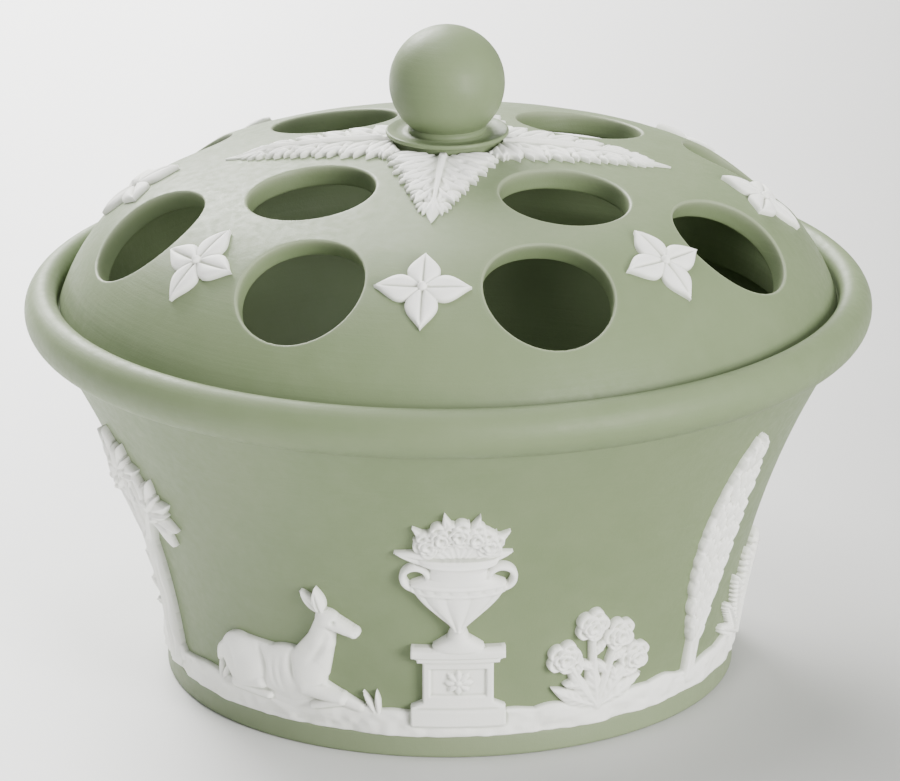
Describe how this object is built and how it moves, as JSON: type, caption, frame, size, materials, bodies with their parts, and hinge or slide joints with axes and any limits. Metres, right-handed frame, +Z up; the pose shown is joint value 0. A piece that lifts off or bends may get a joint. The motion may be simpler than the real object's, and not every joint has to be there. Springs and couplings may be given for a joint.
{
  "type": "potpourri vase",
  "caption": "Low round potpourri vase in matte green stoneware with white relief ornament, a rolled rim, and a lift-off pierced domed lid with a ball knob.",
  "frame": {"origin": "middle of the foot, on the table", "axes": "+Z up along the axis of the pot, -Y towards the front"},
  "size_m": [0.14, 0.14, 0.1093],
  "materials": {
    "green_stoneware": "unglazed, matte",
    "white_relief": "unglazed, fine and slightly translucent"
  },
  "bodies": {
    "vase": {"bowl": "green_stoneware", "urn_sprig_1": "white_relief", "rose_bush_sprig_1": "white_relief", "cypress_sprig_1": "white_relief", "fern_sprig_1": "white_relief", "olive_sprig_1": "white_relief", "hind_sprig_1": "white_relief", "urn_sprig_2": "white_relief", "rose_bush_sprig_2": "white_relief", "cypress_sprig_2": "white_relief", "fern_sprig_2": "white_relief", "olive_sprig_2": "white_relief", "hind_sprig_2": "white_relief"},
    "lid": {"lid": "green_stoneware", "knob": "green_stoneware", "acanthus_leaf_1": "white_relief", "acanthus_leaf_2": "white_relief", "acanthus_leaf_3": "white_relief", "acanthus_leaf_4": "white_relief", "floret_1": "white_relief", "floret_2": "white_relief", "floret_3": "white_relief", "floret_4": "white_relief", "floret_5": "white_relief", "floret_6": "white_relief", "floret_7": "white_relief", "floret_8": "white_relief"}
  },
  "joints": [
    {"name": "lid_lift", "type": "slide", "parent": "vase", "child": "lid", "axis": [0, 0, 1], "range_m": [0, 0.08]}
  ]
}
